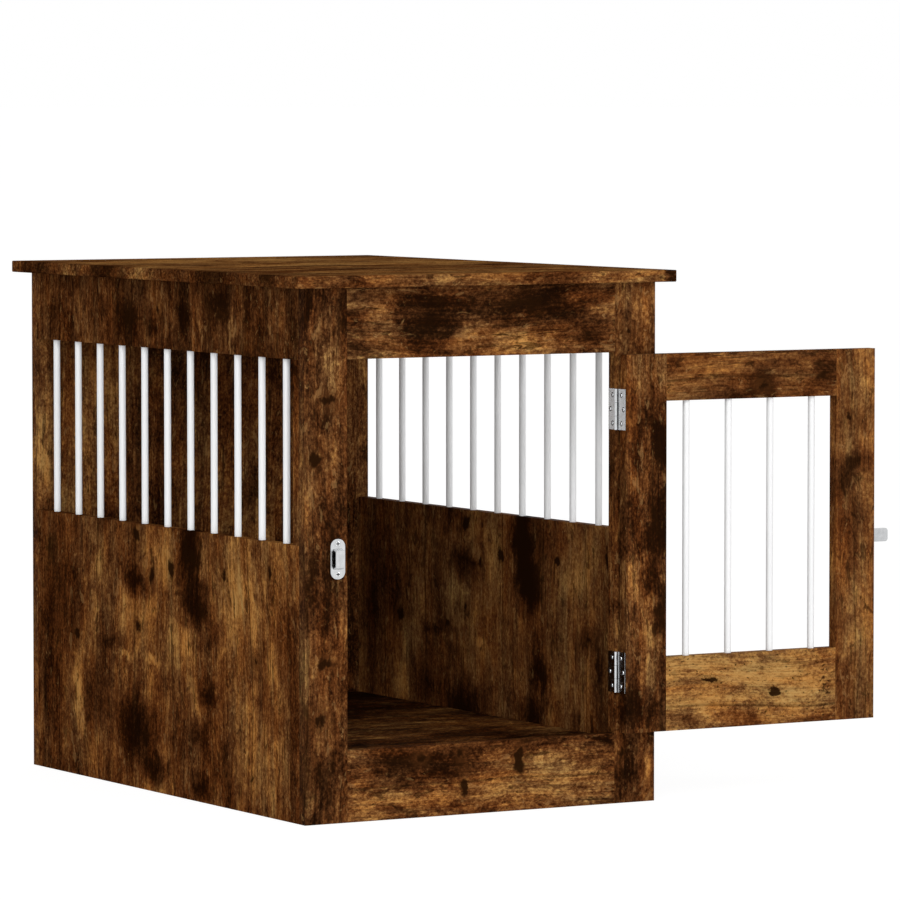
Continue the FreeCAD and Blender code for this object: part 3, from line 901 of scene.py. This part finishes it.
def add_plate_screws(materials):
    for plate, body, outward, columns in (
        ("latch_keeper", "cabinet", -1, (0.0,)),
        ("latch_base_plate", "door", 1, (-BASE_PLATE_REACH, BASE_PLATE_REACH)),
    ):
        low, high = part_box(plate)
        middle = (low + high) / 2
        face = (high.y if outward < 0 else low.y) + outward * PLATE_THICKNESS
        spots = [(column, step) for column in columns for step in (-1, 1)]
        for index, (column, step) in enumerate(spots):
            name = f"{plate}_screw_{index + 1}"
            place = (middle.x + column, face, middle.z + step * PLATE_RISE)
            put_screw(name, body, materials, place, (0, outward, 0), 0.0, PLATE_HEAD)


def add_screws():
    # The second material paints shade into the recesses and rings of the screws
    materials = (zinc("zinc_screw", *SCREW_ZINC), shadow_metal())
    add_hinge_screws(materials)
    add_plate_screws(materials)


# Studio, with lengths in metres

FLOOR_REACH, FLOOR_HEIGHT = 400.0, -0.0005
FLOOR_COLOUR = (0.86, 0.86, 0.86, 1.0)
FLOOR_GLOW, FLOOR_GLOW_SHARE = 1.14, 0.8
SKY_COLOUR, SKY_STRENGTH = (1.0, 0.99, 0.98, 1.0), 0.55
LAMP_TARGET = (0.1, -0.2, 0.35)
# Name, place, diameter, power in watts, and whether the metal mirrors it
LAMPS = (
    ("key", (-3.0, -4.2, 3.4), 2.6, 100.0, True),
    ("fill", (3.2, -4.0, 2.0), 2.4, 38.0, True),
    ("low_front", (-2.0, -5.0, 0.7), 1.8, 110.0, False),
)
CAMERA_PLACE = (-3.66754, -6.58732, 0.90063)
# Angles in degrees: how far the camera looks down, and its turn about z
CAMERA_DOWN, CAMERA_TURN = 3.51496, -30.2491
# Focal length and sensor in millimetres
CAMERA_LENS, CAMERA_SENSOR = 230.387, 36.0
CAMERA_FAR_END = 1000.0


def seen_or_mirrored(tree):
    path = add(tree, "ShaderNodeLightPath").outputs
    return calc(tree, "MAXIMUM", path["Is Camera Ray"], path["Is Glossy Ray"])


def add_floor():
    mesh = bpy.data.meshes.new("floor")
    corners = [(-1, -1), (1, -1), (1, 1), (-1, 1)]
    places = [(x * FLOOR_REACH, y * FLOOR_REACH, FLOOR_HEIGHT) for x, y in corners]
    mesh.from_pydata(places, [], [(0, 1, 2, 3)])
    floor = bpy.data.objects.new("floor", mesh)
    bpy.context.scene.collection.objects.link(floor)
    material, tree = new_material("pale_floor")
    share = times(tree, seen_or_mirrored(tree), FLOOR_GLOW_SHARE)
    matt = add(tree, "ShaderNodeBsdfDiffuse", {"Color": FLOOR_COLOUR})
    glow = add(tree, "ShaderNodeEmission", {"Color": WHITE, "Strength": FLOOR_GLOW})
    mixed = add(tree, "ShaderNodeMixShader", {0: share, 1: matt.outputs[0], 2: glow.outputs[0]})
    add(tree, "ShaderNodeOutputMaterial", {"Surface": mixed.outputs[0]})
    mesh.materials.append(material)


def add_world():
    world = bpy.data.worlds.new("studio")
    world.use_nodes = True
    tree = world.node_tree
    tree.nodes.clear()
    seen = seen_or_mirrored(tree)
    white = add(tree, "ShaderNodeBackground", {"Color": WHITE, "Strength": 1.0})
    soft = add(tree, "ShaderNodeBackground", {"Color": SKY_COLOUR, "Strength": SKY_STRENGTH})
    mixed = add(tree, "ShaderNodeMixShader", {0: seen, 1: soft.outputs[0], 2: white.outputs[0]})
    add(tree, "ShaderNodeOutputWorld", {"Surface": mixed.outputs[0]})
    bpy.context.scene.world = world


def add_softbox(name, place, size, power, mirrored):
    lamp = bpy.data.lights.new(name, "AREA")
    lamp.shape = "DISK"
    lamp.size = size
    lamp.energy = power
    item = bpy.data.objects.new(name, lamp)
    item.location = place
    item.visible_glossy = mirrored
    item.rotation_euler = (Vector(LAMP_TARGET) - Vector(place)).to_track_quat("-Z", "Y").to_euler()
    bpy.context.scene.collection.objects.link(item)


def add_camera():
    camera = bpy.data.cameras.new("camera")
    camera.lens = CAMERA_LENS
    camera.sensor_width = CAMERA_SENSOR
    camera.clip_end = CAMERA_FAR_END
    item = bpy.data.objects.new("camera", camera)
    item.location = CAMERA_PLACE
    item.rotation_euler = (math.radians(90 - CAMERA_DOWN), 0.0, math.radians(CAMERA_TURN))
    bpy.context.scene.collection.objects.link(item)
    bpy.context.scene.camera = item


dress_boards()
dress_metal()
add_screws()
add_floor()
add_world()
for lamp_row in LAMPS:
    add_softbox(*lamp_row)
add_camera()
bpy.context.scene.view_settings.view_transform = "Standard"
